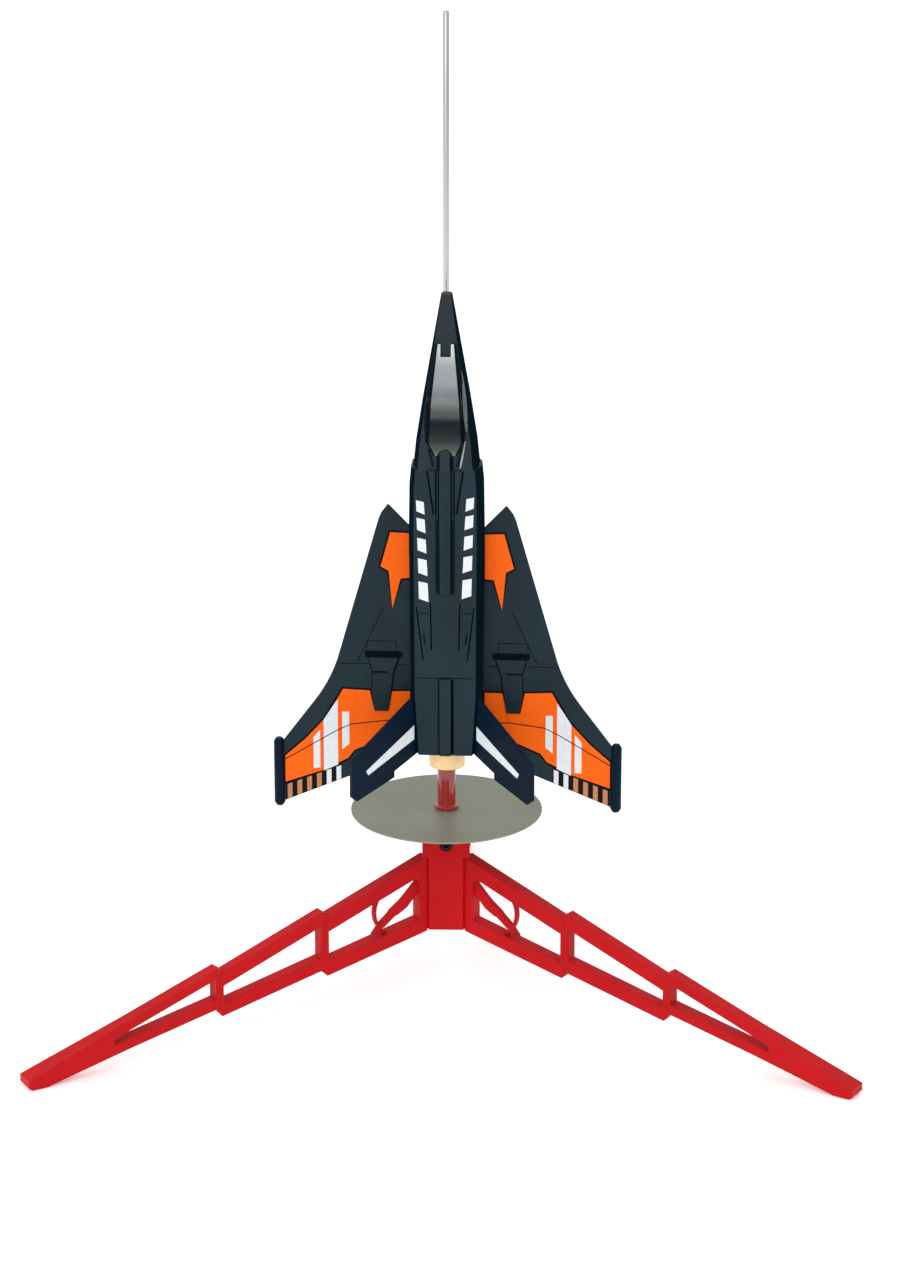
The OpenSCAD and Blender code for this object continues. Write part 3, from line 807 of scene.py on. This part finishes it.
def nose_rows(bm, edges, side, lift, steps=10):
    """Rows of three points each that lie on the nose between two edges."""
    rows = []
    for i in range(steps + 1):
        z = mix(edges[0][0], edges[-1][0], i / steps)
        a, b = between(edges, z)
        corner = 1 if a < 1 < b else mix(a, b, 0.5)
        points = [on_nose(q, z, lift) for q in (a, corner, b)]
        rows.append([bm.verts.new((side * x, y, height)) for x, y, height in points])
    return rows


def rim(rows):
    """The points round the outside of a sheet made of rows."""
    first, last = rows[0], rows[-1]
    return first + [r[-1] for r in rows[1:]] + last[-2::-1] + [r[0] for r in rows[-2:0:-1]]


def nose_film(name, material, edges, lift=INK, sides=(1, -1)):
    """Film on the nose between two edges, given as (height, from q, to q) rows."""
    bm = bmesh.new()
    for side in sides:
        top = nose_rows(bm, edges, side, lift)
        under = nose_rows(bm, edges, side, -0.25)
        for rows in (top, under):
            for a, b in zip(rows, rows[1:]):
                join_loops(bm, a, b, closed=False)
        join_loops(bm, rim(top), rim(under))
    return finish_piece(to_object(name, bm, material, ROCKET_PLACE), "nose")


def canopy_frame():
    """Black frame strips along both edges of the canopy's top face."""
    bm = bmesh.new()
    for side in (1, -1):
        loops = []
        for z, w, depth in CANOPY_SHAPE:
            near, far = -depth - 0.16, -depth + 0.5
            loops.append(add_loop(bm, [
                (side * (w - 0.75), near, z), (side * (w + 0.12), near, z),
                (side * (w + 0.24), far, z), (side * (w - 0.75), far, z)
            ]))
        for a, b in zip(loops, loops[1:]):
            join_loops(bm, a, b)
        bm.faces.new(loops[0])
        bm.faces.new(loops[-1])
    finish_piece(to_object("canopy_frame_strips", bm, LINE_BLACK, ROCKET_PLACE), "nose")


def make_canopy():
    """Mirror foil on the canopy's top face, near-black foil on its sides as painted shade, and black
    strips between.
    """
    silver = mirror_foil("canopy_foil", [
        (0.00, (0.12, 0.14, 0.135)), (0.06, (0.065, 0.075, 0.070)), (0.15, (0.020, 0.028, 0.026)),
        (0.22, (0.009, 0.015, 0.018)), (0.31, (0.007, 0.012, 0.020)), (0.38, (0.080, 0.085, 0.082)),
        (0.53, (0.24, 0.25, 0.255)), (0.68, (0.38, 0.41, 0.42)), (1.00, (0.54, 0.58, 0.60))
    ], *GLASS_RANGE)
    # Painted shade: near-black foil on the canopy's sides.
    side_shade_foil = mirror_foil("canopy_side_painted_shade", [
        (0.00, (0.004, 0.007, 0.010)), (0.45, (0.006, 0.008, 0.012)), (1.00, (0.003, 0.004, 0.005))
    ], *GLASS_RANGE, 0.3)
    canopy = from_cad("canopy", "canopy_shell", silver, 0.3)
    paint_faces(canopy, side_shade_foil, lambda centre, normal: normal.y >= -0.80)
    finish_piece(canopy, "nose")
    canopy_frame()


def make_nose_films():
    """Painted shade as a dark film beside the canopy; on the right, the pale window strip and a pale
    sliver of painted highlight.
    """
    # Painted shade: a dark film on the nose beside the canopy.
    shade = print_film("painted_shade_blue", (0.0065, 0.0130, 0.0205), 0.6, 0.0)
    nose_film("canopy_painted_shade_film", shade, [
        (318, 0.38, 0.50), (324, 0.50, 0.60), (331, 0.72, 0.78), (342, 0.78, 0.96),
        (353, 0.83, 0.97), (376, 0.91, 0.98), (386, 0.95, 0.98)
    ], INK / 2)
    window = print_film("window_grey", (0.13, 0.145, 0.15), 0.5, 0.05)
    nose_film("nose_window_strip", window, [
        (337, 0.87, 0.92), (345, 0.84, 1.05), (353, 0.86, 1.25), (362, 0.96, 1.30), (368.5, 1.06, 1.14)
    ], sides=(1,))
    # Painted highlight: a pale sliver below the right side of the canopy.
    sliver = print_film("sliver_painted_highlight", (0.30, 0.35, 0.40), 0.5, 0.05)
    nose_film("nose_side_painted_highlight", sliver, [
        (317.4, 0.53, 0.58), (323, 0.61, 0.68), (332, 0.79, 0.82)
    ], sides=(1,))


def make_nose():
    paint_flank_shade(refined("nose_cone", "moulding", PLASTIC_NOSE, 0.7, "nose", 3))
    refined("nose_plug", "moulding", PLASTIC_NOSE, 0.3, "nose")
    refined("nose_weight", "clay", CLAY, 0.4, "nose")
    make_canopy()
    make_nose_films()


# ---------- motor and what is packed inside ----------

def spiral_sheet(name, material, inner, outer, z0, z1, turns, wave, ragged, rows=7):
    """A rolled sheet: one open layer wound outwards, with wavy turns and uneven edges."""
    draw = random.Random(11)
    waves = [(draw.choice((2, 3, 5, 7)), draw.uniform(0, 6.3), draw.uniform(0.3, 1)) for _ in range(4)]
    steps = 34
    total = int(turns * steps)
    bm = bmesh.new()
    columns = []
    for i in range(total + 1):
        angle = 2 * math.pi * i / steps
        r = mix(inner, outer - wave, i / total)
        turn = i / steps
        low_edge, high_edge = (
            ragged * math.sin(1.7 * turn + p) * math.sin(0.83 * turn + 2 * p) for p in (0.4, 2.1)
        )
        column = []
        for k in range(rows):
            t = k / (rows - 1)
            z = mix(z0 + ragged + low_edge, z1 - ragged + high_edge, t)
            bulge = sum(a * math.sin(n * angle % 6.28318 + p + 1.3 * t) for n, p, a in waves) / 4
            q = r + wave * bulge * r / outer
            column.append(bm.verts.new((q * math.cos(angle), q * math.sin(angle), z)))
        columns.append(column)
    for a, b in zip(columns, columns[1:]):
        join_loops(bm, b, a, closed=False)
    return to_object(name, bm, material, ROCKET_PLACE, 80)


def make_parachute():
    z0, z1 = low("parachute"), high("parachute")
    film = Paint("parachute_film", (0.90, 0.62, 0.03), 0.35, Specular_IOR_Level=0.4)
    checks = film.node("ShaderNodeTexChecker")
    checks.inputs["Scale"].default_value = 60
    checks.inputs["Color1"].default_value = (0.88, 0.60, 0.03, 1)
    checks.inputs["Color2"].default_value = (0.86, 0.83, 0.74, 1)
    film.link(film.place, checks.inputs["Vector"])
    film.base(checks.outputs["Color"])
    film.gloss(140, 0.25, 0.45)
    film.bump(film.noise(260, detail=4), 0.15)
    roll = spiral_sheet("parachute_roll", film.material, 1.2, 9.4, z0, z1, 42, wave=0.35, ragged=0.7)
    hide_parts("parachute")
    finish_piece(roll, "rocket")


def make_wadding():
    z0, z1 = low("recovery_wadding"), high("recovery_wadding")
    tissue = Paint("wadding_tissue", (0.74, 0.74, 0.70), 0.9, Specular_IOR_Level=0.1)
    tissue.mottle(300, 0.06, detail=6)
    tissue.bump(tissue.noise(420, detail=8, rough=0.7), 0.4)
    wad = spiral_sheet(
        "recovery_wadding_tissue", tissue.material, 0.8, 11.2, z0, z1, 24, wave=0.9, ragged=1.2, rows=5
    )
    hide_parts("recovery_wadding")
    finish_piece(wad, "rocket")


def twisted_thread():
    thread = Paint("twisted_thread", (0.78, 0.77, 0.73), 0.8, Specular_IOR_Level=0.15)
    thread.mottle(500, 0.10)
    twist = thread.node("ShaderNodeTexWave", wave_type="BANDS", bands_direction="DIAGONAL")
    twist.inputs["Scale"].default_value = 420
    thread.link(thread.place, twist.inputs["Vector"])
    thread.bump(twist.outputs["Fac"], 0.08)
    return thread.material


LINE_RADIUS = 0.26
LINE_LAYERS = (9.93, 10.46)     # radius of each layer of the winding
LINE_TURNS = 14                 # in each layer
CORD_PLEATS = 12
CORD_REACH = 8.2                # of each run, to either side of the rocket's axis
CORD_BEND = 0.5                 # how far a pleat's bend reaches past its runs
CORD_HALF_WIDTH = 1.5
CORD_HALF_THICKNESS = 0.22


def make_lines():
    """Shroud lines wound round the parachute, up in one layer and down in the next."""
    z0, z1 = low("shroud_lines") + 0.4, high("shroud_lines") - 0.4
    steps = 30
    count = LINE_TURNS * steps
    points = []
    for layer, radius in enumerate(LINE_LAYERS):
        for i in range(count + 1):
            t = i / count
            z = mix(z0, z1, t if layer == 0 else 1 - t)
            angle = 2 * math.pi * i / steps
            points.append((radius * math.cos(angle), radius * math.sin(angle), z))
    bm = bmesh.new()
    tube_along(bm, points, LINE_RADIUS)
    wound = to_object("shroud_line_winding", bm, twisted_thread(), ROCKET_PLACE, 80)
    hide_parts("shroud_lines")
    finish_piece(wound, "rocket")


def flat_elastic():
    elastic = Paint("flat_elastic", (0.76, 0.75, 0.71), 0.75, Specular_IOR_Level=0.15)
    ribs = elastic.node("ShaderNodeTexWave", wave_type="BANDS", bands_direction="Y")
    ribs.inputs["Scale"].default_value = 500
    elastic.link(elastic.place, ribs.inputs["Vector"])
    elastic.bump(ribs.outputs["Fac"], 0.10)
    elastic.mottle(400, 0.08)
    return elastic.material


def pleated_path(lo, hi):
    """Points of a strip that is laid to and fro between two heights."""
    pitch = (hi - lo - 1.6) / CORD_PLEATS
    path = []
    for i in range(CORD_PLEATS + 1):
        z = lo + 0.8 + i * pitch
        side = -1 if i % 2 else 1
        for x in (-CORD_REACH, -CORD_REACH / 2, 0, CORD_REACH / 2, CORD_REACH):
            path.append((x * side, 0, z))
        if i < CORD_PLEATS:
            path.append((side * (CORD_REACH + CORD_BEND), 0, z + pitch / 2))
    return path


def make_shock_cord():
    """Flat elastic laid in pleats between the anchor and the nose plug's eye."""
    lo, hi = low("shock_cord"), high("shock_cord")
    path = [Vector(p) for p in pleated_path(lo, hi)]
    wide = Vector((0, CORD_HALF_WIDTH, 0))
    bm = bmesh.new()
    loops = []
    for i, p in enumerate(path):
        t = (path[min(i + 1, len(path) - 1)] - path[max(i - 1, 0)]).normalized()
        n = Vector((-t.z, 0, t.x)) * CORD_HALF_THICKNESS
        loops.append(add_loop(bm, [p + n - wide, p + n + wide, p - n + wide, p - n - wide]))
    for a, b in zip(loops, loops[1:]):
        join_loops(bm, a, b)
    bm.faces.new(reversed(loops[0]))
    bm.faces.new(loops[-1])
    cord = to_object("shock_cord_pleats", bm, flat_elastic(), ROCKET_PLACE, 60)
    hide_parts("shock_cord")
    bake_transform(cord)


def make_motor():
    refined("motor_casing", "paper", PAPER_KRAFT, 0.2, "motor")
    refined("motor_nozzle", "clay", CLAY, 0.2, "motor")
    tape = Paint("crepe_tape", (0.95, 0.64, 0.29), 0.28, Coat_Weight=0.35)
    tape.mottle(120, 0.10, detail=4)
    tape.bump(tape.noise(700, detail=3, stretch=(1, 1, 0.25)), 0.05)
    tape.gloss(160, 0.22, 0.40)
    refined("retaining_tape", "wrap", tape.material, 0.25, "motor")


def black_powder():
    powder = Paint("black_powder", (0.03, 0.03, 0.03), 0.85)
    powder.mottle(600, 0.35, detail=6)
    powder.bump(powder.noise(900, detail=5), 0.08)
    return powder.material


def finish_hidden_nodes():
    """Inner CAD nodes whose shape is right only need their own finish."""
    paper_nodes = ("motor_tube", "centering_ring_front", "centering_ring_rear", "thrust_ring")
    finishes = {
        PAPER_KRAFT: (*paper_nodes, "shock_cord_anchor"),
        black_powder(): ("propellant", "delay_charge", "ejection_charge"),
        CLAY: ("clay_cap",),
    }
    for material, nodes in finishes.items():
        for node in nodes:
            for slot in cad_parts[node].material_slots:
                slot.material = material


# ---------- the whole scene ----------

make_camera()
make_stage()
make_shock_cord()
make_lines()
make_pad()
make_deflector()
make_fuselage()
back_dashes()
make_wings()
make_wing_markings()
make_wing_fairings()
fin_stripes()
make_nose()
make_parachute()
make_wadding()
make_motor()
finish_hidden_nodes()
